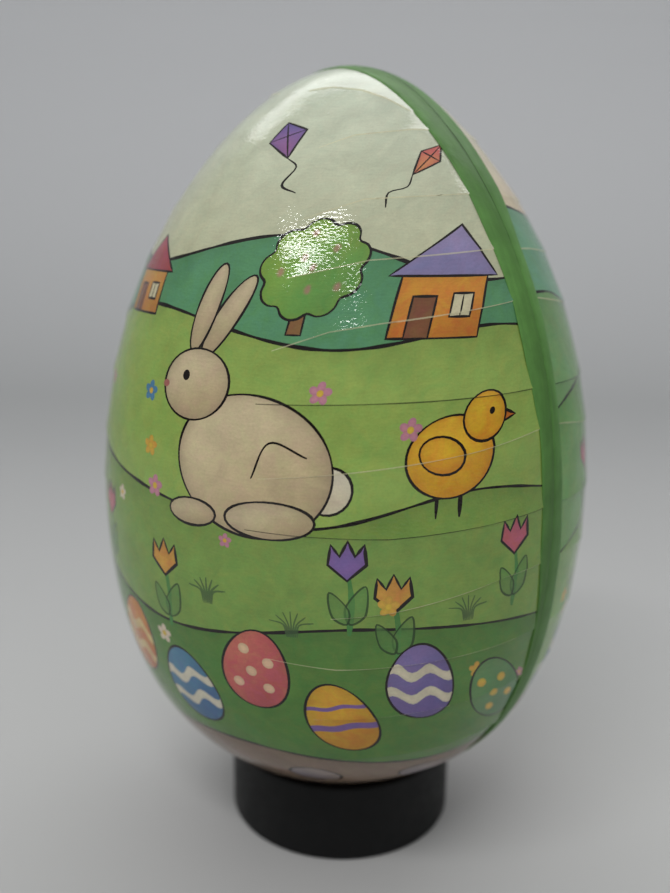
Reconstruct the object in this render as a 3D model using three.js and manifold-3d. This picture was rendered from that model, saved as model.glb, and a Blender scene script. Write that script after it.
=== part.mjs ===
// A fillable Easter egg of pressed board: two half shells that meet on an upright seam, each a board shell
// with a printed paper cover and a paper edging strip outside and a paper lining inside, an inner collar
// glued into the back half that the front half slides over, and a plain ring the egg stands in.
// Millimetres, +Z up. The origin is the centre of the ring's underside, and the front half faces -Y.
import * as THREE from "three";
import { mergeVertices } from "three/addons/utils/BufferGeometryUtils.js";
import Module from "manifold-3d";

const wasm = await Module();
wasm.setup();

// Driving dimensions.
const EGG_HEIGHT = 150;
const EGG_RADIUS = 51.5;
const EGG_CENTRE_Z = 87.5; // height of the middle of the egg's axis above the table
const EGG_TAPER = [1, -0.12, 0.05, -0.15]; // widens the foot and narrows the tip of an ellipse
const PAPER = 0.3;
const BOARD = 2.0;
const GLUE = 0.1; // the glue line between two layers
const EDGING_WIDTH = 6; // how far the edging strip reaches from the seam
const COLLAR = 1.0;
const COLLAR_CLEARANCE = 0.3; // running gap between the collar and the lining
const COLLAR_PROUD = 8; // how far the collar stands out of the back half
const COLLAR_GLUED = 10; // how deep it is glued into the back half
const SEAM_GAP = 0.4;
const RING_RADIUS = 25;
const RING_WALL = 3.5;
const RING_EDGE = 0.8; // rounding of the ring's outer edges
const SEAT_GAP = 0.3; // gap between the egg and its seat in the ring
const SEAT_LAND = 0.6; // flat land between the seat and the ring's outer rounding

// Fineness of the round stretches.
const AROUND = 32;
const ALONG = 20;
const ROUNDING_STEPS = 3;

// Depths below the edging's outer surface at which each layer under it starts.
const PRINT_DEPTH = PAPER + GLUE;
const BOARD_DEPTH = PRINT_DEPTH + PAPER + GLUE;
const LINING_DEPTH = BOARD_DEPTH + BOARD + GLUE;
const COLLAR_DEPTH = LINING_DEPTH + PAPER + COLLAR_CLEARANCE;

const COLOURS = {
  frontPrint: 0x7fae62,
  backPrint: 0x86b070,
  edging: 0x4f8f4f,
  board: 0xa39a8a,
  lining: 0xf1ead8,
  collar: 0xd9cdb4,
  ring: 0x15161a,
};

// The ellipse and its taper, as a share of the height (t from -1 at the foot to 1 at the tip).
function taperedRadius(t) {
  const taper = EGG_TAPER.reduce((sum, factor, power) => sum + factor * t ** power, 0);
  return Math.sqrt(Math.max(0, 1 - t * t)) * taper;
}

const WIDEST = Math.max(...Array.from({ length: 401 }, (_, i) => taperedRadius(i / 200 - 1)));

// A point of the outline at an angle from -90 degrees (foot) to 90 degrees (tip): x is the distance from
// the axis and y the height.
function outlinePoint(angle) {
  const t = Math.sin(angle);
  return new THREE.Vector2(
    (EGG_RADIUS * taperedRadius(t)) / WIDEST,
    EGG_CENTRE_Z + (EGG_HEIGHT / 2) * t,
  );
}

// The same point moved squarely inwards by a depth; both ends stay on the axis.
function insetPoint(angle, depth) {
  const here = outlinePoint(angle);
  const atEnd = Math.abs(angle) > Math.PI / 2 - 1e-6;
  if (atEnd) return new THREE.Vector2(0, here.y - Math.sign(angle) * depth);
  const step = 1e-4;
  const along = outlinePoint(angle + step).sub(outlinePoint(angle - step)).normalize();
  return new THREE.Vector2(here.x - along.y * depth, here.y + along.x * depth);
}

function toSolid(geometry) {
  const bare = geometry.clone();
  bare.deleteAttribute("normal");
  bare.deleteAttribute("uv");
  const merged = mergeVertices(bare, 1e-4);
  const corners = merged.index.array;
  const kept = [];
  for (let i = 0; i < corners.length; i += 3) {
    const [a, b, c] = corners.slice(i, i + 3);
    if (a !== b && b !== c && c !== a) kept.push(a, b, c);
  }
  return new wasm.Manifold(
    new wasm.Mesh({
      numProp: 3,
      vertProperties: merged.attributes.position.array,
      triVerts: new Uint32Array(kept),
    }),
  );
}

function toGeometry(solid) {
  const mesh = solid.getMesh();
  const geometry = new THREE.BufferGeometry();
  geometry.setAttribute("position", new THREE.BufferAttribute(mesh.vertProperties, 3));
  geometry.setIndex(new THREE.BufferAttribute(mesh.triVerts, 1));
  return geometry;
}

// A body of revolution about the vertical axis from a profile of (distance, height) points.
function revolved(profile) {
  const geometry = new THREE.LatheGeometry(profile, AROUND);
  geometry.rotateX(Math.PI / 2);
  return geometry;
}

function eggSolid(depth) {
  const profile = Array.from({ length: ALONG + 1 }, (_, i) =>
    insetPoint(Math.PI * (i / ALONG - 0.5), depth),
  );
  return toSolid(revolved(profile));
}

// A slab that holds everything between two planes square to Y.
function slab(fromY, toY) {
  const reach = 2 * EGG_HEIGHT;
  const geometry = new THREE.BoxGeometry(reach, toY - fromY, 2 * reach);
  geometry.translate(0, (fromY + toY) / 2, 0);
  return toSolid(geometry);
}

const FRONT_SLAB = slab(-EGG_HEIGHT, -SEAM_GAP / 2);
const BACK_SLAB = slab(SEAM_GAP / 2, EGG_HEIGHT);
const FRONT_EDGE_SLAB = slab(-EDGING_WIDTH, -SEAM_GAP / 2);
const BACK_EDGE_SLAB = slab(SEAM_GAP / 2, EDGING_WIDTH);
const COLLAR_SLAB = slab(-COLLAR_PROUD, COLLAR_GLUED);

// The wall between two depths, kept inside one slab.
function layer(depth, thickness, within) {
  const wall = eggSolid(depth).subtract(eggSolid(depth + thickness));
  return toGeometry(wall.intersect(within));
}

// The angle at which the egg's outline, moved out by the seat gap, has a given distance from the axis,
// found by halving on the foot's side.
function footAngle(distance) {
  let low = -Math.PI / 2;
  let high = 0;
  for (let i = 0; i < 40; i++) {
    const middle = (low + high) / 2;
    if (insetPoint(middle, -SEAT_GAP).x < distance) low = middle;
    else high = middle;
  }
  return (low + high) / 2;
}

// The ring's section: a wall with rounded outer edges and a top that follows the egg's foot.
function ringProfile() {
  const inner = RING_RADIUS - RING_WALL;
  const seatTop = insetPoint(footAngle(RING_RADIUS - RING_EDGE - SEAT_LAND), -SEAT_GAP);
  const seatFoot = insetPoint(footAngle(inner), -SEAT_GAP);
  const centre = RING_RADIUS - RING_EDGE;
  const corner = (height, from) =>
    Array.from({ length: ROUNDING_STEPS + 1 }, (_, i) => {
      const angle = from + ((Math.PI / 2) * i) / ROUNDING_STEPS;
      return new THREE.Vector2(
        centre + RING_EDGE * Math.cos(angle),
        height + RING_EDGE * Math.sin(angle),
      );
    });
  const profile = [
    new THREE.Vector2(inner, 0),
    ...corner(RING_EDGE, -Math.PI / 2),
    ...corner(seatTop.y - RING_EDGE, 0),
    seatTop,
    seatFoot,
  ];
  profile.push(profile[0].clone());
  return profile;
}

function piece(name, geometry, colour, roughness) {
  const material = new THREE.MeshStandardMaterial({ color: colour, roughness, metalness: 0 });
  const mesh = new THREE.Mesh(geometry, material);
  mesh.name = name;
  return mesh;
}

function half(side, within, withinEdge, printColour) {
  const group = new THREE.Group();
  group.add(
    piece(`${side}_edging_strip`, layer(0, PAPER, withinEdge), COLOURS.edging, 0.3),
    piece(`${side}_print_paper`, layer(PRINT_DEPTH, PAPER, within), printColour, 0.3),
    piece(`${side}_board_shell`, layer(BOARD_DEPTH, BOARD, within), COLOURS.board, 0.9),
    piece(`${side}_lining_paper`, layer(LINING_DEPTH, PAPER, within), COLOURS.lining, 0.8),
  );
  return group;
}

const egg = new THREE.Group();
egg.add(
  half("front", FRONT_SLAB, FRONT_EDGE_SLAB, COLOURS.frontPrint),
  half("back", BACK_SLAB, BACK_EDGE_SLAB, COLOURS.backPrint),
  piece("inner_collar", layer(COLLAR_DEPTH, COLLAR, COLLAR_SLAB), COLOURS.collar, 0.85),
);

const part = new THREE.Group();
part.add(egg, piece("stand_ring", revolved(ringProfile()), COLOURS.ring, 0.55));

export default part;
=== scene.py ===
"""A two-part papier-mache Easter egg on a ring stand.

Each half's paper cover is a sheet of flat painted shapes, triangulated so that every drawn outline is a row
of mesh edges, then wrapped round the egg. The shells, linings, collar, edging strips and ring are swept from
the egg's own profile. Drawings are in millimetres on the unrolled sheet: x runs right from the middle of the
half along each level, and y runs up along the egg's outline from a level 13 mm below its middle.
"""

import math
import random

import bpy
import numpy as np
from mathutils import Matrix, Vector
from mathutils.geometry import delaunay_2d_cdt


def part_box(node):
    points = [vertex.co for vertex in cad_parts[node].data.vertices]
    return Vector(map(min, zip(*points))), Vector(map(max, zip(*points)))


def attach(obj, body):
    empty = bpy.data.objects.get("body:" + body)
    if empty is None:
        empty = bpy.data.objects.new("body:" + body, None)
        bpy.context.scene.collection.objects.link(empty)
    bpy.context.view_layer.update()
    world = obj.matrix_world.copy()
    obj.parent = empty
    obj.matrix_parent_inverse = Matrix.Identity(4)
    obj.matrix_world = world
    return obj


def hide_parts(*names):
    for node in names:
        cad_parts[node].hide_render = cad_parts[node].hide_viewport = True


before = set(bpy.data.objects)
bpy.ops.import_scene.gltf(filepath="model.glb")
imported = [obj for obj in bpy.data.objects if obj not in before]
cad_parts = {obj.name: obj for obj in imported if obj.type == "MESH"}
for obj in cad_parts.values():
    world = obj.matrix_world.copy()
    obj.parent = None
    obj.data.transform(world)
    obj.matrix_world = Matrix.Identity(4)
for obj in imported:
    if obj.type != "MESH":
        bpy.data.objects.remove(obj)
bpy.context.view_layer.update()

# ---------------------------------------------------------------- sizes, in millimetres unless named _M
MM = 0.001
EGG_TAPER = (1, -0.12, 0.05, -0.15)
STRIP_LOW, STRIP_HIGH = (np.array(c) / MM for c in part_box("front_edging_strip"))
EGG_MIDDLE = (STRIP_LOW[2] + STRIP_HIGH[2]) / 2
EGG_HALF = (STRIP_HIGH[2] - STRIP_LOW[2]) / 2
EGG_RADIUS = (STRIP_HIGH[0] - STRIP_LOW[0]) / 2
SEAM = -STRIP_HIGH[1]
STRIP_GAP = 0.03  # from the seam's plane to the edging strip, which overhangs the board a little
PAPER = 0.3
BOARD = 2.0
GLUE = 0.1
SHEET_ZERO = 13  # how far below the egg's middle the drawings' y = 0 lies
PRINT_DEPTH = PAPER + GLUE
BOARD_DEPTH = PRINT_DEPTH + PAPER + GLUE
LINING_DEPTH = BOARD_DEPTH + BOARD + GLUE
COLLAR_LOW, COLLAR_HIGH = (np.array(c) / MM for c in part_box("inner_collar"))
COLLAR_THICK = 1.0
COLLAR_DEPTH = LINING_DEPTH + 2 * PAPER
COLLAR_BEVEL = 0.25
_, RING_HIGH = (np.array(c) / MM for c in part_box("stand_ring"))
RING_RADIUS = RING_HIGH[0]
RING_WALL = 3.5
RING_EDGE = 0.8  # rounding of the outer edges
RING_BEVEL = 0.35  # of the inner foot
SEAT_GAP = 0.3
SEAT_LAND = 0.6

GRID = 1.5  # spacing of the sheet's inner points
INK = 0.42  # width of a drawn line

# ---------------------------------------------------------------- the egg's profile


class Profile:
    """The egg's outline as a table over its angle from foot to tip, with its slope and its running length."""

    def __init__(self):
        angle = np.linspace(-math.pi / 2, math.pi / 2, 4001)
        t = np.sin(angle)
        width = np.cos(angle) * sum(factor * t**power for power, factor in enumerate(EGG_TAPER))
        self.radius = EGG_RADIUS * width / width.max()
        self.height = EGG_MIDDLE + EGG_HALF * t
        out, up = np.gradient(self.radius), np.gradient(self.height)
        length = np.hypot(out, up)
        self.normal_out, self.normal_up = up / length, -out / length
        run = np.concatenate([[0], np.cumsum(np.hypot(np.diff(self.radius), np.diff(self.height)))])
        self.run = run - np.interp(EGG_MIDDLE - SHEET_ZERO, self.height, run)

    def at_run(self, run):
        """Distance from the axis, height and outward direction at a running length."""
        tables = (self.radius, self.height, self.normal_out, self.normal_up)
        return [np.interp(run, self.run, table) for table in tables]

    def inset(self, depth):
        """The profile moved squarely inwards, as rows of (distance from the axis, height)."""
        moved = np.stack(
            [self.radius - depth * self.normal_out, self.height - depth * self.normal_up], axis=1
        )
        return moved[moved[:, 0] >= 0]


EGG = Profile()
WIDEST_Z = EGG.height[np.argmax(EGG.radius)]


def on_egg(points, depth, facing):
    """Sheet points as places and outward directions; facing is -1 for the front half, 1 for the back."""
    radius, height, out, up = EGG.at_run(points[:, 1])
    turn = points[:, 0] / np.maximum(radius, 1e-6)
    across, along = np.sin(turn), np.cos(turn)
    normals = np.stack([-facing * out * across, facing * out * along, up], axis=1)
    places = np.stack([-facing * radius * across, facing * radius * along, height], axis=1)
    return places - normals * np.asarray(depth).reshape(-1, 1), normals


# ---------------------------------------------------------------- meshes


def make_object(name, places, faces, material):
    mesh = bpy.data.meshes.new(name)
    mesh.from_pydata((np.asarray(places) * MM).tolist(), [], [list(f) for f in faces])
    mesh.polygons.foreach_set("use_smooth", [True] * len(mesh.polygons))
    mesh.materials.append(material)
    piece = bpy.data.objects.new(name, mesh)
    bpy.context.scene.collection.objects.link(piece)
    return piece


def add_piece(piece, body, node):
    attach(piece, body)
    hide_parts(node)
    return piece


# ---------------------------------------------------------------- drawing kit


def linear(colour):
    """A hex colour as linear red, green and blue."""
    values = np.array([int(colour[i:i + 2], 16) for i in (1, 3, 5)]) / 255
    return np.where(values <= 0.04045, values / 12.92, ((values + 0.055) / 1.055) ** 2.4)


def curve(*points, closed=True, step=0.8):
    """A smooth line through a few points."""
    p = np.array(points, float)
    count = len(p)
    line = []
    for i in range(count if closed else count - 1):
        ids = [(i + k) % count if closed else min(max(i + k, 0), count - 1) for k in (-1, 0, 1, 2)]
        a, b, c, d = p[ids]
        span = np.linalg.norm(c - b)
        leave = (c - a) * span / (span + np.linalg.norm(b - a))
        arrive = (d - b) * span / (span + np.linalg.norm(d - c))
        steps = max(3, math.ceil(span / step))
        for t in np.arange(steps) / steps:
            keep, go = 2 * t**3 - 3 * t**2 + 1, 3 * t**2 - 2 * t**3
            bend = (t**3 - 2 * t**2 + t) * leave + (t**3 - t**2) * arrive
            line.append(keep * b + go * c + bend)
    if not closed:
        line.append(p[-1])
    return np.array(line)


def oval(x, y, wide, tall, turn=0, egg=0.0):
    """An ellipse of half-width wide and half-height tall, turned anticlockwise; egg narrows its top."""
    count = max(12, math.ceil(math.pi * (wide + tall) / 1.2))
    a = np.arange(count) * 2 * math.pi / count
    flat = np.stack([wide * np.cos(a) * (1 - egg * np.sin(a)), tall * np.sin(a)], axis=1)
    return turned(flat, turn) + (x, y)


def turned(points, degrees):
    c, s = math.cos(math.radians(degrees)), math.sin(math.radians(degrees))
    return np.asarray(points, float) @ np.array([[c, s], [-s, c]])


def corners(*points):
    return np.array(points, float)


def split_long(points, closed=True, longest=GRID):
    """The same line with its long stretches divided, so that it can follow the round egg."""
    ends = np.roll(points, -1, axis=0) if closed else points[1:]
    line = []
    for start, end in zip(points, ends):
        steps = max(1, math.ceil(np.linalg.norm(end - start) / longest))
        line.extend(start + (end - start) * k / steps for k in range(steps))
    if not closed:
        line.append(points[-1])
    return np.array(line)


class Paint:
    """A watercolour wash: a core colour that may run to a far colour, and a darker edge where it dried."""

    def __init__(self, core, far=None, edge=None, toward=(0, -1), soak=1.6, cover=1.0, soft=0.0):
        self.core = linear(core)
        self.far = linear(far) if far else self.core
        self.edge = linear(edge) if edge else 0.72 * self.core
        self.toward = np.array(toward, float) / np.linalg.norm(toward)
        self.soak = soak
        self.cover = cover
        self.soft = soft

    def at(self, points, outline):
        """The wash's colour at some points, and how much of what lies below it covers there."""
        run = outline @ self.toward
        share = np.clip((points @ self.toward - run.min()) / max(np.ptp(run), 1e-6), 0, 1)[:, None]
        colour = self.core + (self.far - self.core) * share * share * (3 - 2 * share)
        deep = distance_to(points, outline)[:, None]
        if self.soft:
            return colour, self.cover * np.clip(deep / self.soft, 0, 1) ** 1.5
        edge = 0.7 * np.exp(-deep / self.soak)
        return colour + (self.edge - colour) * edge, np.full_like(deep, self.cover)


def distance_to(points, outline, closed=True):
    """How far each point is from a line."""
    best = np.full(len(points), 1e9)
    ends = np.roll(outline, -1, axis=0) if closed else outline[1:]
    for a, ab in zip(outline, ends - outline[:len(ends)]):
        share = np.clip((points - a) @ ab / max(ab @ ab, 1e-12), 0, 1)
        best = np.minimum(best, np.sum((points - a - share[:, None] * ab) ** 2, axis=1))
    return np.sqrt(best)


def inside(points, outline):
    """Which points lie within a closed line."""
    x, y = points.T
    crossings = np.zeros(len(points), bool)
    for (ax, ay), (bx, by) in zip(outline, np.roll(outline, -1, axis=0)):
        if ay != by:
            crossings ^= ((ay > y) != (by > y)) & (x < ax + (y - ay) * (bx - ax) / (by - ay))
    return crossings


class Flat:
    """One plain colour, for ink and thin brush lines."""

    def __init__(self, colour, cover=1.0):
        self.colour = linear(colour)
        self.cover = cover

    def at(self, points, outline):
        return np.tile(self.colour, (len(points), 1)), np.full((len(points), 1), self.cover)


INK_COLOUR = Flat("#170f0c")


class Picture:
    """A pile of flat shapes on a sheet, the first at the bottom."""

    def __init__(self, sheet):
        self.layers = []
        self.inner_points = []
        self.wash(sheet, Flat("#e8e4d2"))

    def wash(self, outline, paint):
        outline = split_long(outline)
        self.layers.append(([outline], paint, outline, lambda centres: inside(centres, outline)))
        middle = outline.mean(axis=0)
        size = np.linalg.norm(outline - middle, axis=1).mean()
        self.inner_points.append(middle + (outline - middle) * max(0.35, 1 - 0.8 / size))

    def line(self, path, width=INK, paint=INK_COLOUR, closed=False, taper=0.55):
        """A brush line; an open one thins towards both ends."""
        path = split_long(np.asarray(path, float), closed)
        if closed:
            ahead, behind = np.roll(path, -1, axis=0), np.roll(path, 1, axis=0)
        else:
            ahead, behind = np.vstack([path[1:], path[-1:]]), np.vstack([path[:1], path[:-1]])
        along = ahead - behind
        along /= np.maximum(np.linalg.norm(along, axis=1, keepdims=True), 1e-9)
        side = np.stack([-along[:, 1], along[:, 0]], axis=1)
        place = np.linspace(0, 1, len(path))
        press = 1 + 0.2 * np.sin(place * len(path) / 3.1 + path[0, 0]) + 0.1 * np.sin(place * len(path) / 1.3)
        if not closed:
            press *= 1 - taper * np.abs(2 * place - 1) ** 3
        half = side * (width / 2 * press)[:, None]
        left, right = path + half, path - half
        triangles = []
        for i in range(len(path) if closed else len(path) - 1):
            j = (i + 1) % len(path)
            triangles.append(np.array([right[i], right[j], left[j]]))
            triangles.append(np.array([right[i], left[j], left[i]]))
        self.layers.append(
            (triangles, paint, path, lambda centres: distance_to(centres, path, closed) < width)
        )

    def shape(self, outline, paint, width=INK):
        self.wash(outline, paint)
        self.line(outline, width, closed=True)

    def triangulate(self, seed):
        """Splits the sheet along every outline: points, triangles and each triangle corner's colour."""
        points, faces, owners = [], [], []
        for layer, (polygons, *_) in enumerate(self.layers):
            for polygon in polygons:
                area = signed_area(polygon)
                if abs(area) < 1e-5:
                    continue
                faces.append(list(range(len(points), len(points) + len(polygon))))
                points.extend(polygon if area > 0 else polygon[::-1])
                owners.append(layer)
        points = np.vstack([points, scattered_grid(self.layers[0][2], seed), *self.inner_points])
        result = delaunay_2d_cdt([Vector(p) for p in points.tolist()], [], faces, 1, 1e-4, True)
        members = [[] for _ in self.layers]
        kept = []
        for face, sources in zip(result[2], result[5]):
            within = {owners[source] for source in sources}
            if 0 in within:
                for layer in within:
                    members[layer].append(len(kept))
                kept.append(face)
        points, kept = np.array(result[0]), np.array(kept)
        centres = points[kept].mean(axis=1)
        colours = np.zeros((len(kept), 3, 3))
        for (_, paint, outline, covers), member in zip(self.layers, members):
            member = np.array(member, int)
            member = member[covers(centres[member])]
            corner_ids, back = np.unique(kept[member].ravel(), return_inverse=True)
            if len(corner_ids):
                colour, cover = paint.at(points[corner_ids], outline)
                below = colours[member].reshape(-1, 3)
                above = below + (colour[back] - below) * cover[back]
                colours[member] = above.reshape(-1, 3, 3)
        return points, kept, colours


def signed_area(polygon):
    x, y = polygon[:, 0], polygon[:, 1]
    return 0.5 * np.sum(x * np.roll(y, -1) - np.roll(x, -1) * y)


def scattered_grid(outline, seed):
    """Slightly disordered points over a shape's box, a row every so often."""
    low, high = outline.min(axis=0), outline.max(axis=0)
    columns, rows = ((high - low) / (GRID, GRID * 0.87)).astype(int)
    x, y = np.meshgrid(np.arange(columns) * GRID, np.arange(rows) * GRID * 0.87)
    x[1::2] += GRID / 2
    grid = np.stack([x.ravel(), y.ravel()], axis=1) + low + GRID / 3
    return grid + np.random.default_rng(seed).uniform(-0.2, 0.2, grid.shape) * GRID


# ---------------------------------------------------------------- motifs


def decorated_egg(picture, x, y, wide, tall, turn, colour, far, trim, style):
    """An egg painted with two waves, two bands or five dots."""
    picture.wash(oval(x, y, wide, tall, turn, 0.12), Paint(colour, far, toward=(1, -1)))

    def place(points):
        return turned(points, turn) + (x, y)

    def band(low, high, sway):
        across = np.linspace(-1, 1, 15)
        rows = []
        for level, order in ((low, 1), (high, -1)):
            y_share = level + sway * np.sin(across * 5.5)
            half = np.sqrt(np.clip(1 - y_share**2, 0, 1)) * (1 - 0.12 * y_share)
            rows.append(np.stack([wide * across * half, tall * y_share], axis=1)[::order])
        picture.wash(place(np.vstack(rows)), Paint(trim, soak=0.5))

    if style == "waves":
        band(-0.45, -0.2, 0.12)
        band(0.15, 0.4, 0.12)
    if style == "bands":
        band(-0.3, -0.12, 0.03)
        band(0.32, 0.42, 0.03)
    if style == "dots":
        for dot_x, dot_y in ((-0.4, 0.45), (0.35, 0.3), (-0.1, -0.05), (0.45, -0.35), (-0.45, -0.45)):
            size = 0.17 * wide
            centre = place([[dot_x * wide, dot_y * tall]])[0]
            picture.wash(oval(*centre, size, size), Paint(trim, soak=0.4))
    picture.line(oval(x, y, wide, tall, turn, 0.12), closed=True)


def stone(picture, x, y, wide, tall, colour):
    """A lumpy oval."""
    a = np.arange(8) * math.pi / 4
    across = wide * np.cos(a) * (1 + 0.08 * np.sin(3 * a + x))
    up = tall * np.sin(a) * (1 + 0.07 * np.sin(2 * a))
    picture.shape(curve(*zip(x + across, y + up)), Paint(colour, "#8b8390", toward=(-1, -1)))


def leaf(picture, x, y, length, turn):
    blade = curve((0, 0), (0.35 * length, 0.24 * length), (length, 0), (0.35 * length, -0.24 * length))
    blade = turned(blade, turn) + (x, y)
    picture.wash(blade, Paint("#5f8f4a", soak=0.5, cover=0.6))
    picture.line(blade, 0.36, Flat("#26401f", 0.85), closed=True)


def blossom(picture, x, y, size, colour):
    """Five oval petals round a yellow heart."""
    petals = 5
    for k in range(petals):
        centre = turned([[0.62 * size, 0]], 360 * k / petals + 15)[0] + (x, y)
        picture.wash(oval(*centre, 0.48 * size, 0.38 * size, 360 * k / petals), Paint(colour, soak=0.4))
    picture.wash(oval(x, y, 0.32 * size, 0.32 * size), Paint("#e8c04a", soak=0.3))


def grass(picture, x, y, spread):
    """A tuft of seven blades."""
    for k in range(7):
        lean = (k - 3) / 3
        tip = (x + lean * spread, y + spread * (1.25 - 0.5 * lean * lean))
        middle = (x + 0.35 * lean * spread, y + 0.6 * spread)
        blade = curve((x + 0.3 * (k - 3), y), middle, tip, closed=False)
        picture.line(blade, 0.4, Flat("#44603a", 0.8))


def round_tree(picture, x, y, radius, colour="#8fb54c", far="#4f9353", fruit="#b9767a"):
    """A bushy crown with a scalloped outline and a short trunk."""
    picture.shape(
        corners((x - 1.3, y - 1.3 * radius), (x + 1.3, y - 1.3 * radius), (x + 0.9, y), (x - 0.9, y)),
        Paint("#a97846", "#7f5a3d"),
    )
    lobes = 9
    crown = []
    for k in range(lobes * 4):
        a = 2 * math.pi * k / (lobes * 4)
        reach = radius * (0.9 + 0.13 * abs(math.sin(lobes * a / 2)))
        crown.append((x + reach * math.cos(a), y + reach * math.sin(a)))
    picture.shape(curve(*crown), Paint(colour, far, toward=(1, -1), soak=2.5))
    for k in range(7):
        a, reach = 2.4 * k, radius * 0.3 * math.sqrt(k)
        spot = oval(x + reach * math.cos(a), y + reach * math.sin(a), 0.9, 1.1)
        picture.wash(spot, Paint(fruit, soft=0.7, cover=0.8))


def kite(picture, x, y, size, colour, far, turn):
    """A plain diamond kite with a cross of sticks and a trailing string."""
    def place(*points):
        return turned(size * corners(*points), turn) + (x, y)

    picture.shape(place((0, 5), (3.4, 1), (0, -5), (-3.4, 1)), Paint(colour, far, soak=0.8), 0.4)
    picture.line(place((0, 5), (0, -5)), 0.3)
    picture.line(place((-3.4, 1), (3.4, 1)), 0.3)
    picture.line(curve(*place((0, -5), (1.4, -8), (-1.2, -11), (1, -14)), closed=False), 0.4)


def house(picture, x, y, size, wall, roof):
    """A square wall with a triangular roof, a door and a window."""
    def place(*points):
        return size * corners(*points) + (x, y)

    picture.shape(place((-7, 0), (7, 0), (7, 9), (-7, 9)), wall)
    picture.shape(place((-9, 9), (9, 9), (0, 17)), roof)
    picture.shape(place((-4.6, 0), (-1, 0), (-1, 6), (-4.6, 6)), Paint("#8a5a3c"))
    picture.shape(place((1.6, 3), (5, 3), (5, 6.4), (1.6, 6.4)), Paint("#e9e0b8"))
    picture.line(place((3.3, 3), (3.3, 6.4)), 0.3)


def sitting_rabbit(picture, x, y, size):
    """A bare rabbit sitting side on, made of ovals."""
    def part(across, up, wide, tall, turn=0):
        return oval(x + size * across, y + size * up, size * wide, size * tall, turn)

    fur = Paint("#e2d2aa", "#c6b188", edge="#a8967a", toward=(0.4, -1), soak=1.8)
    ears = (part(-5, 17, 1.7, 6, -24), part(-8.4, 18, 1.7, 6, -8))
    body, head = part(1.6, -1.6, 11, 8.8, -16), part(-8, 8, 5.4, 4.6)
    feet = (part(-6.6, -8.4, 3.8, 1.8), part(4.6, -8.2, 6, 2.4))
    picture.shape(part(12, -4, 3, 3), Paint("#efe6cc", "#d8caa6"))
    for outline in (*ears, body, head, *feet):
        picture.shape(outline, fur)
    haunch = ((2, -3), (4, 1.6), (9, 0))
    picture.line(curve(*((x + size * px, y + size * py) for px, py in haunch), closed=False))
    picture.wash(part(-9.6, 9, 0.6, 0.7), INK_COLOUR)
    picture.wash(part(-13.1, 7.6, 0.6, 0.5), Paint("#b8766a"))


def standing_chick(picture, x, y, size):
    """A chick made of ovals, with a beak and two legs."""
    def part(across, up, wide, tall, turn=0):
        return oval(x + size * across, y + size * up, size * wide, size * tall, turn)

    def place(*points):
        return size * corners(*points) + (x, y)

    down = Paint("#efc23a", "#e0a028", edge="#cf8a2a", toward=(0.3, -1), soak=1.4)
    for leg in (-1.6, 1.8):
        picture.line(place((leg, -4), (leg, -8)), 0.7)
    picture.shape(place((7, 5.8), (9.6, 4.8), (7, 3.8)), Paint("#d9722c"))
    for outline in (part(0, 0, 6.4, 5.4), part(4.4, 5, 3.4, 3.3), part(-1.4, 0.2, 3.4, 2.4, -18)):
        picture.shape(outline, down)
    picture.wash(part(5.4, 5.6, 0.45, 0.5), INK_COLOUR)


# ---------------------------------------------------------------- the two pictures


def rim_reach(level):
    """How far the rim is from the middle of the half, along a level of the sheet."""
    radius = EGG.at_run(level)[0]
    return radius * np.arccos(np.clip(SEAM / radius, -1, 1))


def sheet_edge():
    """The unrolled outline of one half: at each level the half-circle from rim to rim."""
    start, end = EGG.run[0], EGG.run[-1]
    foot, tip = start + np.array([0.45, 1.0]), end - np.array([1.0, 0.45])
    levels = np.concatenate([foot, np.arange(start + 2, end - 1.5, 1.5), tip])
    right = np.stack([rim_reach(levels), levels], axis=1)
    return np.vstack([right, (right * (-1, 1))[::-1]])


def tulip(picture, x, y, colour, size):
    """A cup with three points on a stem with two leaves."""
    stem = curve((x, y - 12 * size), (x + 0.7, y - 6 * size), (x, y), closed=False)
    picture.line(stem, size, Flat("#4f8a44"))
    leaf(picture, x + 0.3, y - 10 * size, 7 * size, 68)
    leaf(picture, x - 0.3, y - 10 * size, 6 * size, 115)
    cup = [(-2.6, 3.2), (-3, 0), (0, -2.6), (3, 0), (2.6, 3.2), (1.2, 1.4), (0, 3.8), (-1.2, 1.4)]
    picture.shape(size * corners(*cup) + (x, y), Paint(colour, soak=1), 0.55)


def meadows(picture, sky, ridges):
    """The sky and, in front of it, one wash of land below each ridge line."""
    wide, tall = 95, 120
    picture.wash(corners((-wide, 20), (wide, 20), (wide, tall), (-wide, tall)), sky)
    for *ridge, colour, far in ridges:
        line = curve(*ridge, closed=False)
        picture.wash(np.vstack([line, [[wide, -tall], [-wide, -tall]]]), Paint(colour, far, soak=3.5))
        picture.line(line, 0.6)


def flowers(picture, seed, count, places):
    """Tulips at given places, and small blossoms scattered over the grass."""
    tones = ("#cf6a78", "#dda24a", "#8a6cae")
    for index, (x, y) in enumerate(places):
        tulip(picture, x, y, tones[index % len(tones)], 1.1)
    scatter = random.Random(seed)
    for _ in range(count):
        x, y, size = scatter.uniform(-76, 76), scatter.uniform(-30, 34), scatter.uniform(1.2, 2)
        blossom(picture, x, y, size, scatter.choice(("#e9d9c0", "#d08fa0", "#5b8fb4", "#e3b24c")))


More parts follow.
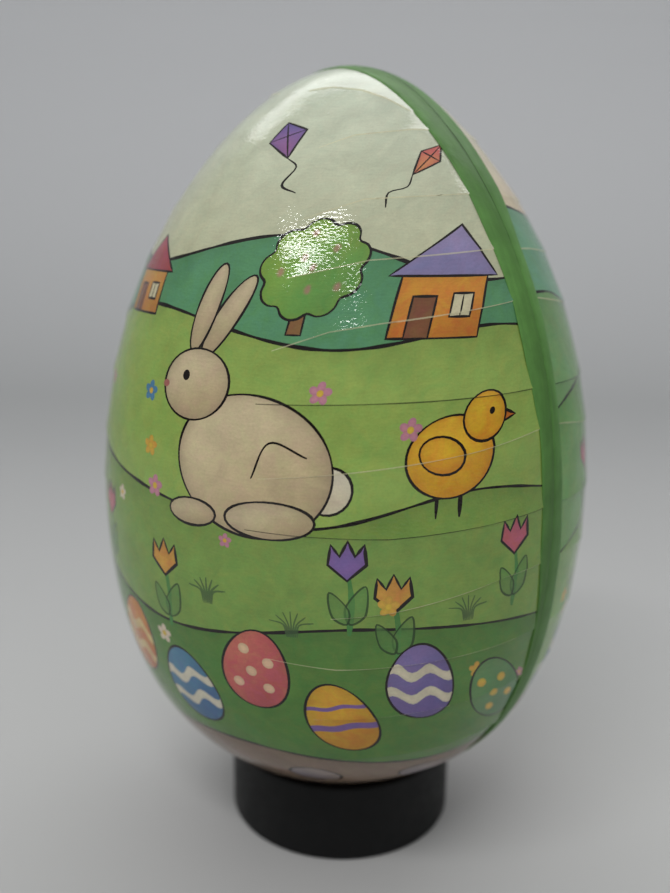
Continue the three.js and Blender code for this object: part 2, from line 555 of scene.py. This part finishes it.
def egg_row(picture, places, first):
    """Decorated eggs lying in the grass; their looks take turns, starting from one of them."""
    looks = (
        ("#5a8fb0", "#40689a", "#e9e2cc", "waves"), ("#d9766a", "#bb5560", "#efc9a4", "dots"),
        ("#e5b23a", "#cf8a2e", "#8a6cae", "bands"), ("#8b7bb2", "#6d5f9c", "#ece2c6", "waves"),
        ("#6f9f62", "#4f7f50", "#e8c14e", "dots"), ("#d98a9a", "#bf6a84", "#efe2cc", "bands"),
        ("#e0953f", "#c76f30", "#f0cf8a", "waves"),
    )
    for index, (x, y, turn) in enumerate(places):
        decorated_egg(picture, x, y, 6.4, 8.6, turn, *looks[(first + index) % len(looks)])


def front_picture():
    """A plain spring meadow: pale sky, hills, two houses, trees, a rabbit, a chick, flowers and eggs."""
    picture = Picture(sheet_edge())
    meadows(picture, Paint("#c4c298", "#d6e0cc", toward=(0, 1), edge="#c4bc94"), (
        ((-90, 52), (-50, 60), (-15, 52), (20, 58), (55, 50), (90, 56), "#5f9a6c", "#4f8a5c"),
        ((-90, 40), (-50, 36), (-10, 44), (30, 38), (60, 42), (90, 38), "#9cb85c", "#79a850"),
        ((-90, 14), (-50, 20), (-10, 12), (30, 8), (60, 14), (90, 10), "#86a650", "#5c8f44"),
        ((-90, -12), (-40, -6), (0, -14), (40, -10), (90, -14), "#5f8c40", "#3f7030"),
        ((-90, -40), (-40, -44), (10, -40), (50, -45), (90, -40), "#907a68", "#726260"),
    ))
    round_tree(picture, 24, 52, 9, "#8fb54c", "#5c9a50")
    round_tree(picture, -44, 48, 10, "#9fbf5c", "#5c9a58", "#d08a80")
    house(picture, 48, 40, 1.2, Paint("#e39c3a", "#cf7a30"), Paint("#a597c0", "#8a86b4"))
    house(picture, -14, 42, 0.9, Paint("#d9a04c", "#c08038"), Paint("#bb5560", "#a04a50"))
    kite(picture, 8, 78, 1.0, "#7d6aa8", "#a86a98", 28)
    kite(picture, 36, 74, 0.8, "#d9766a", "#e0985c", -24)
    sitting_rabbit(picture, 18, 20, 1.35)
    standing_chick(picture, 55, 20, 1.3)
    flowers(picture, 8, 26, ((-62, 8), (-48, 4), (-34, 10), (-20, 4), (2, -2), (38, 2), (70, 4), (46, -4)))
    egg_row(picture, (
        (-62, -26, 10), (-46, -20, -12), (-30, -28, 6), (-12, -22, -8), (4, -28, 12), (20, -20, -14),
        (34, -30, 8), (50, -22, -6), (66, -28, 14),
    ), 3)
    for place in ((-38, -4), (12, -8), (28, -12), (60, -10), (-68, 26)):
        grass(picture, *place, 4)
    for place in ((-30, -52, 5, 3.4), (22, -50, 5, 3.4), (44, -52, 6, 3.6)):
        stone(picture, *place, "#a89890")
    add_darts(picture)
    return picture


def back_picture():
    """The same kind of meadow under a peach sky with a sun, with a bigger tree."""
    picture = Picture(sheet_edge())
    meadows(picture, Paint("#ecc9a0", "#dfe3cd", toward=(0, 1), edge="#ecc9a0"), (
        ((-90, 64), (-62, 66), (-33, 61), (-5, 60), (20, 50), (50, 57), (90, 52), "#74ab86", "#689c7a"),
        ((-90, 44), (-60, 47), (-40, 40), (-15, 46), (15, 36), (45, 45), (90, 38), "#7fac6c", "#649a60"),
        ((-90, 20), (-66, 28), (-40, 32), (-10, 22), (25, 26), (60, 18), (90, 24), "#7bae62", "#5c9550"),
        ((-90, -6), (-60, 2), (-30, 6), (0, -4), (35, 4), (70, -6), (90, -2), "#8ab564", "#568d49"),
        ((-90, -40), (-50, -36), (-10, -42), (30, -36), (90, -42), "#b0a094", "#94888a"),
    ))
    picture.shape(oval(24, 76, 8, 8), Paint("#f0cf6c", "#e8b04e", soak=2.5), 0.6)
    round_tree(picture, 40, 44, 13, "#a3c159", "#5a9a55", "#cf7f78")
    round_tree(picture, -20, 52, 8, "#8db75a", "#4f905a", "#d8a25a")
    house(picture, 6, 32, 1.2, Paint("#e39c3a", "#cf7a30"), Paint("#a597c0", "#8a86b4"))
    flowers(picture, 21, 26, ((-62, 14), (-54, 8), (-46, 12), (22, 14), (30, 9), (38, 13), (62, 4), (54, 8)))
    egg_row(picture, (
        (-58, -28, 8), (-34, -20, -12), (-22, -24, 10), (-10, -20, -6), (4, -24, 12), (18, -20, -8),
        (60, -26, 14),
    ), 0)
    for place in ((-30, 0), (12, 12), (-64, -14), (48, -14), (-6, 18), (30, -26)):
        grass(picture, *place, 4)
    for place in ((-44, -46, 6, 4), (40, -44, 6, 3.8), (-4, -50, 6, 4), (26, -50, 5, 3.6)):
        stone(picture, *place, "#b3a29a")
    kite(picture, -12, 78, 1.0, "#7d6aa8", "#a86a98", 20)
    add_darts(picture)
    return picture


# ---------------------------------------------------------------- darts, the laps in the paper

DART_LIFT = 0.18  # how far a lapped edge stands up
DART_FADE = 3.4  # how far above the dart that dies away
DART_BEND = 0.125  # change of slope from one dart to the next
ABOVE_TIP = 120  # a level past the sheet's end, which closes the cap over the top dart
DART_GROWTH = 4  # how far along a dart it reaches its full height
LIGHT_CUT = Flat("#e9e2b8", 0.5)
DARK_CUT = Flat("#1c1c10", 0.75)
DARTS = (
    (LIGHT_CUT, (-9, 90), (4, 92), (8, 93), (14, 92), (20, 89.6), (27, 86)),
    (LIGHT_CUT, (15, 76), (20, 79), (30, 81), (60, 82)),
    (LIGHT_CUT, (18, 60.5), (28, 65), (46, 66.5), (75, 67)),
    (LIGHT_CUT, (20, 50), (33, 53.5), (55, 55.5), (80, 56)),
    (LIGHT_CUT, (21, 37.5), (30, 41), (38, 42.5), (65, 46), (85, 47)),
    (DARK_CUT, (20, 28.5), (40, 29.2), (71, 30), (90, 30)),
    (LIGHT_CUT, (22, 16), (35, 17.5), (60, 20.5), (73, 22.5), (90, 24)),
    (DARK_CUT, (20, 7), (45, 6.5), (75, 8), (90, 9)),
    (LIGHT_CUT, (35, -8), (45, -7), (68, -3), (90, -2)),
    (LIGHT_CUT, (23, -17), (35, -18.2), (50, -17.5), (90, -16)),
    (LIGHT_CUT, (29, -30), (45, -29), (90, -27)),
    (DARK_CUT, (24, -42), (45, -41), (90, -40)),
    (LIGHT_CUT, (22, -54), (40, -53), (90, -52)),
    (LIGHT_CUT, (18, -65), (30, -64.5), (80, -64)),
)


def add_darts(picture):
    for paint, *path in DARTS:
        for side in (-1, 1):
            picture.line(corners(*((side * x, y) for x, y in path if x > 0)), 0.2, paint, taper=0.4)


def dart_relief(points):
    """How far the paper stands off its smooth shape at sheet points, and how steeply that changes upwards.

    Above each dart the lapped edge stands up a little; between two darts the paper is stretched flatter. The
    flattening is half as deep as its slope asks for, so that the egg's outline stays round. The cap over the
    top dart has only the lap.
    """
    reach = np.abs(points[:, 0])
    levels, grown = [], []
    for _, *path in reversed(DARTS):
        x, y = np.array(path, float).T
        levels.append(np.interp(reach, x, y))
        grown.append(np.clip((reach - x[0]) / DART_GROWTH, 0, 1))
    levels.append(np.full(len(points), ABOVE_TIP))
    grown.append(grown[-1])
    levels, grown = np.array(levels), np.array(grown)
    below = np.clip((levels < points[:, 1]).sum(axis=0) - 1, 0, len(DARTS) - 1)
    column = np.arange(len(points))
    foot, top = levels[below, column], levels[below + 1, column]
    gap = top - foot
    share = (points[:, 1] - foot) / gap
    strength = np.minimum(grown[below, column], grown[below + 1, column]) * ((share > 0) & (share < 1))
    lap = DART_LIFT * strength * np.exp(-(points[:, 1] - foot) / DART_FADE)
    bend = np.where(below < len(DARTS) - 1, DART_BEND * strength, 0)
    lift = lap - 0.25 * bend * gap * share * (1 - share)
    slope = bend * (share - 0.5) - lap / DART_FADE
    return lift, slope


def print_sheet(name, picture, facing, material, seed):
    """Wraps a picture round one half of the egg as a thin paper sheet with a turned-in rim."""
    points, faces, colours = picture.triangulate(seed)
    lift, slope = dart_relief(points)
    places, normals = on_egg(points, PRINT_DEPTH - lift, facing)
    radius, _, out, up = EGG.at_run(points[:, 1])
    turn = points[:, 0] / np.maximum(radius, 1e-6)
    uphill = np.stack([facing * up * np.sin(turn), -facing * up * np.cos(turn), out], axis=1)
    normals = normals - slope[:, None] * uphill
    normals /= np.linalg.norm(normals, axis=1, keepdims=True)
    edges = {(a, b) for face in faces.tolist() for a, b in zip(face, face[1:] + face[:1])}
    rim = sorted((a, b) for a, b in edges if (b, a) not in edges)
    turned_in, _ = on_egg(points, PRINT_DEPTH + PAPER, facing)
    count = len(points)
    sides = [(b, a, a + count, b + count) for a, b in rim]
    piece = make_object(name, np.vstack([places, turned_in]), faces.tolist() + sides, material)
    mesh = piece.data
    paper = np.tile(linear("#e6e0cc"), (4 * len(sides), 1))
    paint = np.vstack([colours.reshape(-1, 3), paper])
    layer = mesh.color_attributes.new("paint", "FLOAT_COLOR", "CORNER")
    layer.data.foreach_set("color", np.hstack([paint, np.ones((len(paint), 1))]).ravel())
    sheet = mesh.attributes.new("sheet", "FLOAT_VECTOR", "POINT")
    flat = np.hstack([points, np.zeros((count, 1))])
    sheet.data.foreach_set("vector", np.vstack([flat, flat]).ravel())
    corner_normals = np.vstack([normals[faces.ravel()], np.zeros((4 * len(sides), 3))])
    mesh.normals_split_custom_set(corner_normals.tolist())
    return piece


# ---------------------------------------------------------------- shells, strips, collar and ring


def half_shell(name, depth, thickness, facing, material, levels=150, columns=90):
    """The wall between two depths on one side of the seam, closed along its flat rim."""
    places, faces = [], []
    for surface_depth in (depth, depth + thickness):
        profile = EGG.inset(surface_depth)
        profile = profile[profile[:, 0] > SEAM]
        pick = np.linspace(0, len(profile) - 1, levels)
        radius = np.interp(pick, np.arange(len(profile)), profile[:, 0])
        height = np.interp(pick, np.arange(len(profile)), profile[:, 1])
        reach = np.arccos(np.clip(SEAM / radius, -1, 1))
        turn = reach[:, None] * np.linspace(-1, 1, columns)
        away = facing * radius[:, None]
        rows = np.stack([-away * np.sin(turn), away * np.cos(turn), height[:, None] + 0 * turn], axis=2)
        places.append(rows.reshape(-1, 3))
    inner = levels * columns
    for i in range(levels - 1):
        for j in range(columns - 1):
            a = i * columns + j
            quad = (a, a + 1, a + columns + 1, a + columns)
            faces.append(quad)
            faces.append(tuple(v + inner for v in reversed(quad)))
    border = [i * columns for i in range(levels)] + [(levels - 1) * columns + j for j in range(1, columns)]
    border += [i * columns + columns - 1 for i in range(levels - 2, -1, -1)] + list(range(columns - 2, 0, -1))
    for a, b in zip(border, border[1:] + border[:1]):
        faces.append((a, b, b + inner, a + inner))
    return make_object(name, np.vstack(places), faces, material)


def loop_places(turns, y, depth):
    """Points of the egg's outline at a depth, at a distance y from the seam's plane, all the way round."""
    profile = EGG.inset(depth)
    low, high = np.zeros(len(turns)), np.full(len(turns), 2 * EGG_HALF)
    for _ in range(40):
        reach = (low + high) / 2
        x, z = reach * np.sin(turns), WIDEST_Z + reach * np.cos(turns)
        radius = np.interp(z, profile[:, 1], profile[:, 0], left=0, right=0)
        outside = x**2 + y**2 >= radius**2
        high, low = np.where(outside, reach, high), np.where(outside, low, reach)
    return np.stack([x, y + 0 * x, z], axis=1)


def loop_strip(name, section, material, steps=400):
    """A closed strip round the seam; each row of the section is (distance from the seam's plane, depth)."""
    turns = np.arange(steps) * 2 * math.pi / steps
    rows = [loop_places(turns, y, depth) for y, depth in section]
    count = len(rows)
    places = np.stack(rows, axis=1).reshape(-1, 3)
    faces = []
    for i in range(steps):
        for j in range(count):
            here, there = i * count, (i + 1) % steps * count
            faces.append((here + j, here + (j + 1) % count, there + (j + 1) % count, there + j))
    return make_object(name, places, faces, material)


def edging_width(turns, facing):
    """The hand-cut strip is widest round the tip and narrows down the sides."""
    if facing < 0:
        heights, widths = (18, 45, 59, 72, 98, 109, 119, 130), (0.6, 0.7, 1.4, 3.0, 4.1, 5.2, 4.9, 5.8)
    else:
        heights, widths = (18, 59, 83, 109, 130, 139), (4.4, 4.6, 3.3, 2.9, 3.1, 5.0)
    height = loop_places(turns, 3, 0)[:, 2]
    return np.interp(height, heights, widths) + 0.12 * np.sin(9 * turns) + 0.08 * np.sin(23 * turns + 1)


def edging_strip(name, facing, material, steps=400):
    """A thin flat strip, pressed down to the cover along its outer edge, that almost meets its neighbour."""
    turns = np.arange(steps) * 2 * math.pi / steps
    width = edging_width(turns, facing)
    shares = np.array([0, 0.01, 0.03, 0.35, 0.65, 0.9, 0.96, 1, 1, 0])
    depths = np.array([0.2, 0.16, 0.14, 0.14, 0.14, 0.16, 0.2, 0.3, 0.38, 0.38])
    section = []
    for share, depth in zip(shares, depths):
        section.append((facing * (STRIP_GAP + share * (width - STRIP_GAP)), depth))
    strip = loop_strip(name, section, material, steps)
    across = strip.data.attributes.new("across", "FLOAT", "POINT")
    across.data.foreach_set("value", np.tile(shares, steps))
    return strip


def stand_ring(name, material, around=160):
    """The ring's wall, following its CAD section with finer rounding."""
    seat = EGG.inset(-SEAT_GAP)
    seat = seat[seat[:, 1] < WIDEST_Z]
    inner, outer = RING_RADIUS - RING_WALL, RING_RADIUS - RING_EDGE
    land = outer - SEAT_LAND
    top = np.interp(land, seat[:, 0], seat[:, 1])
    section = [(inner, RING_BEVEL), (inner + RING_BEVEL, 0)]
    for height, start in ((RING_EDGE, -90), (top - RING_EDGE, 0)):
        for k in range(7):
            angle = math.radians(start + 15 * k)
            section.append((outer + RING_EDGE * math.cos(angle), height + RING_EDGE * math.sin(angle)))
    for share in np.linspace(0, 1, 6):
        reach = land + (inner - land) * share
        section.append((reach, np.interp(reach, seat[:, 0], seat[:, 1])))
    places, faces = [], []
    for i in range(around):
        turn = 2 * math.pi * i / around
        places.extend((reach * math.cos(turn), reach * math.sin(turn), height) for reach, height in section)
        here, there = i * len(section), (i + 1) % around * len(section)
        for j in range(len(section)):
            k = (j + 1) % len(section)
            faces.append((here + j, there + j, there + k, here + k))
    return make_object(name, places, faces, material)


# ---------------------------------------------------------------- materials


class Finish:
    """A node material whose inputs are set by name, to a value or to another node's output."""

    def __init__(self, name):
        self.material = bpy.data.materials.new(name)
        self.material.use_nodes = True
        self.tree = self.material.node_tree
        self.surface = self.tree.nodes["Principled BSDF"]

    def node(self, kind, output, settings=None, **inputs):
        node = self.tree.nodes.new("ShaderNode" + kind)
        for key, value in (settings or {}).items():
            setattr(node, key, value)
        for key, value in inputs.items():
            self.feed(node.inputs[key.replace("_", " ")], value)
        return node.outputs[output]

    def feed(self, socket, value):
        if isinstance(value, bpy.types.NodeSocket):
            self.tree.links.new(value, socket)
        else:
            socket.default_value = value

    def set(self, **inputs):
        for key, value in inputs.items():
            self.feed(self.surface.inputs[key.replace("_", " ")], value)

    def attribute(self, name, output="Color"):
        return self.node("Attribute", output, {"attribute_name": name})

    def place(self, stretch=(1, 1, 1), source=None):
        """Where a point is on its object, in millimetres, with each direction stretched."""
        if source is None:
            source = self.node("TexCoord", "Object")
            stretch = tuple(1000 * v for v in stretch)
        return self.node("Mapping", "Vector", Vector=source, Scale=stretch)

    def noise(self, where, scale, detail=3.0, roughness=0.55, distortion=0.0):
        settings = {"Scale": scale, "Detail": detail, "Roughness": roughness, "Distortion": distortion}
        return self.node("TexNoise", "Fac", Vector=where, **settings)

    def remap(self, value, from_low, from_high, to_low, to_high):
        ends = {"From_Min": from_low, "From_Max": from_high, "To_Min": to_low, "To_Max": to_high}
        return self.node("MapRange", "Result", Value=value, **ends)

    def mix(self, amount, a, b):
        node = self.tree.nodes.new("ShaderNodeMix")
        node.data_type = "RGBA"
        for index, value in ((0, amount), (6, a), (7, b)):
            self.feed(node.inputs[index], value)
        return node.outputs[2]

    def math(self, operation, a, b):
        node = self.tree.nodes.new("ShaderNodeMath")
        node.operation = operation
        self.feed(node.inputs[0], a)
        self.feed(node.inputs[1], b)
        return node.outputs[0]

    def shade(self, colour, value, low, high):
        """A colour made darker or lighter by a 0 to 1 value."""
        tone = self.remap(value, 0.25, 0.75, low, high)
        return self.node("HueSaturation", "Color", Color=colour, Value=tone)

    def bump(self, height, depth, below=None):
        inputs = {"Height": height, "Distance": depth * MM}
        if below is not None:
            inputs["Normal"] = below
        return self.node("Bump", "Normal", **inputs)


def rgba(colour):
    return (*linear(colour), 1)


def print_finish():
    """Glossy printed paper: watercolour mottling and granulation under a slightly uneven clear coat."""
    finish = Finish("printed_paper")
    sheet = finish.attribute("sheet", "Vector")
    blotches = finish.noise(finish.place(source=sheet), 0.16, 4, 0.6, 0.6)
    pools = finish.noise(finish.place(source=sheet), 0.3, 3, 0.6, 1.0)
    grains = finish.noise(finish.place(source=sheet), 2.2, 2, 0.7)
    hue = finish.remap(pools, 0.3, 0.7, 0.485, 0.515)
    colour = finish.node("HueSaturation", "Color", Color=finish.attribute("paint"), Hue=hue)
    colour = finish.shade(colour, blotches, 0.87, 1.12)
    colour = finish.shade(colour, grains, 0.94, 1.06)
    linen = finish.noise(finish.place((0.35, 2.6, 1), sheet), 1.0, 2, 0.6)
    colour = finish.shade(colour, linen, 0.96, 1.04)
    grit = finish.noise(finish.place((1.5, 2.1, 1), sheet), 1.0, 1, 0.5)
    waves = finish.noise(finish.place(source=sheet), 0.1, 2, 0.5)
    lumps = finish.node("TexVoronoi", "Distance", Vector=sheet, Scale=0.11)
    normal = finish.bump(waves, 0.26)
    normal = finish.bump(finish.remap(lumps, 0.0, 0.05, 1, 0), 0.07, normal)
    normal = finish.bump(grit, 0.04, normal)
    finish.set(Base_Color=colour, Roughness=0.6, Specular_IOR_Level=0.0, Normal=normal)
    finish.set(Coat_Weight=1.0, Coat_Roughness=0.06, Coat_IOR=1.5, Coat_Normal=normal)
    return finish.material


def edging_finish(name, seam_shade_tone, middle_tone, edge_tone):
    """Green brushed paper strip, thinly varnished and streaked along its length; painted light makes it
    lighter up towards the tip, and painted shade makes it darker at the tip and along the seam there.
    """
    finish = Finish(name)
    across = finish.attribute("across", "Fac")
    streaks = finish.noise(finish.place((0.12, 1.1, 0.12)), 1.0, 3, 0.6)
    height = finish.node("SeparateXYZ", "Z", Vector=finish.place())
    where = finish.math("ADD", across, finish.remap(streaks, 0, 1, -0.08, 0.08))
    # Below height 128 the ramp starts past its darkest stop, so the painted seam shade shows mostly near the
    # tip.
    where = finish.math("ADD", where, finish.remap(height, 128, 142, 0.1, 0))
    ramp = finish.tree.nodes.new("ShaderNodeValToRGB")
    finish.feed(ramp.inputs[0], where)
    stops = ramp.color_ramp.elements
    # The darkest green, at the seam's edge, is painted shade in the join between the two halves.
    stops[0].position, stops[0].color = 0.0, rgba(seam_shade_tone)
    stops[1].position, stops[1].color = 1.0, rgba(edge_tone)
    stops.new(0.09).color = rgba(middle_tone)
    colour = finish.shade(ramp.outputs[0], finish.noise(finish.place(), 0.22, 4, 0.6), 0.84, 1.16)
    colour = finish.shade(colour, streaks, 0.9, 1.1)
    # Painted light and shade: lighter from height 75 up to 122, then darker again towards the tip.
    painted_light_rise, painted_shade_tip = finish.remap(height, 75, 122, 1, 1.4), finish.remap(height, 124, 142, 1, 0.78)
    lift = finish.math("MULTIPLY", painted_light_rise, painted_shade_tip)
    colour = finish.node("HueSaturation", "Color", Color=colour, Value=lift)
    normal = finish.bump(finish.noise(finish.place(), 0.15, 2), 0.25)
    normal = finish.bump(finish.noise(finish.place((1, 1, 2.6)), 1.0, 2), 0.04, normal)
    finish.set(Base_Color=colour, Roughness=0.62, Specular_IOR_Level=0.2, Normal=normal)
    finish.set(Coat_Weight=0.2, Coat_Roughness=0.25, Coat_Normal=normal)
    return finish.material


def board_finish():
    """Pressed grey board, with short fibres and flecks on its cut edge."""
    finish = Finish("pressed_board")
    fibres = finish.noise(finish.place((1, 0.25, 1)), 2.6, 4, 0.65, 1.2)
    flecks = finish.noise(finish.place(), 1.4, 2, 0.5)
    colour = finish.mix(finish.remap(flecks, 0.4, 0.7, 0, 1), rgba("#a79d8b"), rgba("#857a69"))
    colour = finish.shade(colour, fibres, 0.78, 1.2)
    finish.set(Base_Color=colour, Roughness=0.92, Normal=finish.bump(fibres, 0.16))
    return finish.material


def lining_finish():
    """Cream lining paper: cloudy, a little foxed, and softly creased where it was lapped into the bowl."""
    finish = Finish("lining_paper")
    clouds = finish.noise(finish.place(), 0.09, 4, 0.6)
    specks = finish.noise(finish.place(), 0.75, 2, 0.6)
    colour = finish.mix(finish.remap(specks, 0.66, 0.76, 0, 0.5), rgba("#efe7d2"), rgba("#cdb68c"))
    colour = finish.shade(colour, clouds, 0.93, 1.05)
    where, edges = finish.place((0.7, 0.7, 0.16)), {"feature": "DISTANCE_TO_EDGE"}
    creases = finish.node("TexVoronoi", "Distance", edges, Vector=where, Scale=0.12)
    normal = finish.bump(finish.remap(creases, 0, 0.06, 1, 0), 0.25)
    normal = finish.bump(finish.noise(finish.place(), 1.8, 3), 0.03, normal)
    finish.set(Base_Color=colour, Roughness=0.78, Normal=normal)
    return finish.material


def collar_finish():
    """Plain buff card with long fibres running round the band."""
    finish = Finish("collar_card")
    fibres = finish.noise(finish.place((0.5, 3.2, 0.5)), 1.0, 4, 0.65, 0.8)
    clouds = finish.noise(finish.place(), 0.15, 3)
    colour = finish.shade(finish.shade(rgba("#d6c7a4"), fibres, 0.86, 1.12), clouds, 0.92, 1.06)
    finish.set(Base_Color=colour, Roughness=0.85, Normal=finish.bump(fibres, 0.05))
    return finish.material


def ring_finish():
    """Satin black moulded plastic with a fine texture and a trace of dust."""
    finish = Finish("black_plastic")
    fine = finish.noise(finish.place(), 3.0, 2, 0.6)
    dust = finish.noise(finish.place(), 0.35, 5, 0.7)
    colour = finish.mix(finish.remap(dust, 0.5, 0.8, 0, 0.3), rgba("#040506"), rgba("#0f1113"))
    finish.set(Base_Color=colour, Roughness=finish.remap(dust, 0.3, 0.7, 0.45, 0.62))
    finish.set(Normal=finish.bump(fine, 0.02), Specular_IOR_Level=0.3)
    return finish.material


def backdrop_finish():
    """Matt paper sweep with painted light and shade: mid grey on the floor, darkest where it starts to rise,
    lightest up the wall.
    """
    finish = Finish("studio_sweep")
    ramp = finish.tree.nodes.new("ShaderNodeValToRGB")
    finish.feed(ramp.inputs[0], finish.attribute("beyond", "Fac"))
    stops = ramp.color_ramp.elements
    # Painted shade on the floor and where it bends up, and painted light higher up the wall.
    stops[0].position, stops[0].color = 0.03, rgba("#c4c4c3")
    stops[1].position, stops[1].color = 0.81, rgba("#dcdddf")
    stops.new(0.44).color = rgba("#a5a6a6")
    finish.set(Base_Color=ramp.outputs[0], Roughness=0.9)
    return finish.material


# ---------------------------------------------------------------- the pieces

print_paper = print_finish()
board = board_finish()
lining = lining_finish()

# Each half's edging tones run from its painted seam shade, through its middle green, to its outer edge.
for side, facing, picture, seed, tones in (
    ("front", -1, front_picture(), 1, ("#2c4a1e", "#4b7535", "#568340")),
    ("back", 1, back_picture(), 2, ("#2f4e22", "#517d3c", "#5f8c4c")),
):
    half = f"{side}_half"
    sheet = print_sheet(f"{side}_print", picture, facing, print_paper, seed)
    add_piece(sheet, half, f"{side}_print_paper")
    edging = edging_strip(f"{side}_edging", facing, edging_finish(f"{side}_green_edging", *tones))
    add_piece(edging, half, f"{side}_edging_strip")
    shell = half_shell(f"{side}_board", BOARD_DEPTH, BOARD, facing, board)
    add_piece(shell, half, f"{side}_board_shell")
    bowl = half_shell(f"{side}_lining", LINING_DEPTH, PAPER, facing, lining)
    add_piece(bowl, half, f"{side}_lining_paper")

collar_front, collar_back = COLLAR_LOW[1], COLLAR_HIGH[1]
collar_inside = COLLAR_DEPTH + COLLAR_THICK
collar_section = [
    (collar_front, COLLAR_DEPTH + COLLAR_BEVEL), (collar_front + COLLAR_BEVEL, COLLAR_DEPTH),
    (0, COLLAR_DEPTH),
    (collar_back - COLLAR_BEVEL, COLLAR_DEPTH), (collar_back, COLLAR_DEPTH + COLLAR_BEVEL),
    (collar_back, collar_inside), (0, collar_inside), (collar_front, collar_inside),
]
collar = loop_strip("collar_band", collar_section, collar_finish())
add_piece(collar, "back_half", "inner_collar")
ring = stand_ring("ring_stand", ring_finish())
add_piece(ring, "stand", "stand_ring")

# ---------------------------------------------------------------- stage, lights and camera

CAMERA_TURN = 42.3  # degrees from straight in front of the front half, towards +X
CAMERA_AWAY = 200.1  # millimetres, as are the next two
CAMERA_ASIDE = 2.3
CAMERA_HEIGHT = 132.6
CAMERA_PITCH = 13.46
CAMERA_ROLL = 0.8
CAMERA_LENS = 38.1
CAMERA_SENSOR = 36
CAMERA_FSTOP = 8.5
FOCUS_REACH = 0.85  # of the egg's radius, from its axis towards the camera
LIGHT_TARGET = (0, 0, 0.09)


def toward_camera(turn):
    angle = math.radians(turn)
    return Vector((math.sin(angle), -math.cos(angle), 0))


def studio_sweep(material):
    """A floor that curves up into a wall behind the egg, as seen from the camera, with sizes in metres."""
    away = -toward_camera(CAMERA_TURN)
    side = Vector((away.y, -away.x, 0))
    near, bend, radius, top, wide = -3.0, 0.35, 0.3, 2.0, 2.4
    line = [(near, 0), (bend, 0)]
    for degrees in range(6, 91, 6):
        angle = math.radians(degrees)
        line.append((bend + radius * math.sin(angle), radius - radius * math.cos(angle)))
    line.append((bend + radius, top))
    places, faces = [], []
    for i, (reach, height) in enumerate(line):
        for across in (-wide, wide):
            places.append(tuple((away * reach + side * across + Vector((0, 0, height))) / MM))
        if i:
            faces.append((2 * i - 2, 2 * i - 1, 2 * i + 1, 2 * i))
    sweep = make_object("studio_sweep", places, faces, material)
    steps = [math.dist(a, b) for a, b in zip(line, line[1:])]
    run = near + np.repeat(np.concatenate([[0], np.cumsum(steps)]), 2)
    beyond = sweep.data.attributes.new("beyond", "FLOAT", "POINT")
    beyond.data.foreach_set("value", run)
    return sweep


def soft_box(name, turn, rise, distance, width, height, power):
    """An area light seen at a turn and a rise from the egg, facing it."""
    angle, lift = math.radians(turn), math.radians(rise)
    way = Vector((math.sin(angle) * math.cos(lift), -math.cos(angle) * math.cos(lift), math.sin(lift)))
    light = bpy.data.lights.new(name, "AREA")
    light.shape = "RECTANGLE"
    light.size = width
    light.size_y = height
    light.energy = power
    holder = bpy.data.objects.new(name, light)
    holder.location = Vector(LIGHT_TARGET) + way * distance
    holder.rotation_euler = (-way).to_track_quat("-Z", "Y").to_euler()
    bpy.context.scene.collection.objects.link(holder)


studio_sweep(backdrop_finish())
soft_box("front_box", 21, 52, 0.9, 0.56, 0.07, 2.9)
soft_box("rear_strip", -145, 50, 0.9, 1.3, 0.5, 4.2)

world = bpy.data.worlds.new("studio")
world.use_nodes = True
sky = world.node_tree
height = sky.nodes.new("ShaderNodeSeparateXYZ")
sky.links.new(sky.nodes.new("ShaderNodeTexCoord").outputs["Generated"], height.inputs[0])
glow = sky.nodes.new("ShaderNodeValToRGB")
sky.links.new(height.outputs["Z"], glow.inputs[0])
horizon, overhead = glow.color_ramp.elements
horizon.position, horizon.color = 0.0, (0.10, 0.10, 0.10, 1)
overhead.position, overhead.color = 0.9, (0.55, 0.56, 0.57, 1)
seen = sky.nodes.new("ShaderNodeMix")
seen.data_type = "RGBA"
seen.inputs[7].default_value = (0.42, 0.43, 0.43, 1)
sky.links.new(sky.nodes.new("ShaderNodeLightPath").outputs["Is Camera Ray"], seen.inputs[0])
sky.links.new(glow.outputs[0], seen.inputs[6])
sky.links.new(seen.outputs[2], sky.nodes["Background"].inputs["Color"])
bpy.context.scene.world = world
bpy.context.scene.view_settings.view_transform = "Standard"

camera = bpy.data.objects.new("camera", bpy.data.cameras.new("camera"))
camera.data.lens = CAMERA_LENS
camera.data.sensor_width = CAMERA_SENSOR
way = toward_camera(CAMERA_TURN)
aside = Vector((way.y, -way.x, 0))
camera.location = (way * CAMERA_AWAY + aside * CAMERA_ASIDE + Vector((0, 0, CAMERA_HEIGHT))) * MM
pitch = math.radians(CAMERA_PITCH)
look = -way * math.cos(pitch) - Vector((0, 0, math.sin(pitch)))
camera.rotation_euler = look.to_track_quat("-Z", "Y").to_euler()
camera.rotation_euler.rotate_axis("Z", math.radians(CAMERA_ROLL))
bpy.context.scene.collection.objects.link(camera)
bpy.context.scene.camera = camera

# The focus stays on the side of the egg that is nearest the camera.
pivot = bpy.data.objects.new("focus_pivot", None)
pivot.location = Vector((0, 0, EGG_MIDDLE * MM))
follow = pivot.constraints.new("DAMPED_TRACK")
follow.target = camera
follow.track_axis = "TRACK_X"
focus = bpy.data.objects.new("focus", None)
focus.parent = pivot
focus.location = Vector((FOCUS_REACH * EGG_RADIUS * MM, 0, 0))
for marker in (pivot, focus):
    bpy.context.scene.collection.objects.link(marker)
camera.data.dof.use_dof = True
camera.data.dof.focus_object = focus
camera.data.dof.aperture_fstop = CAMERA_FSTOP
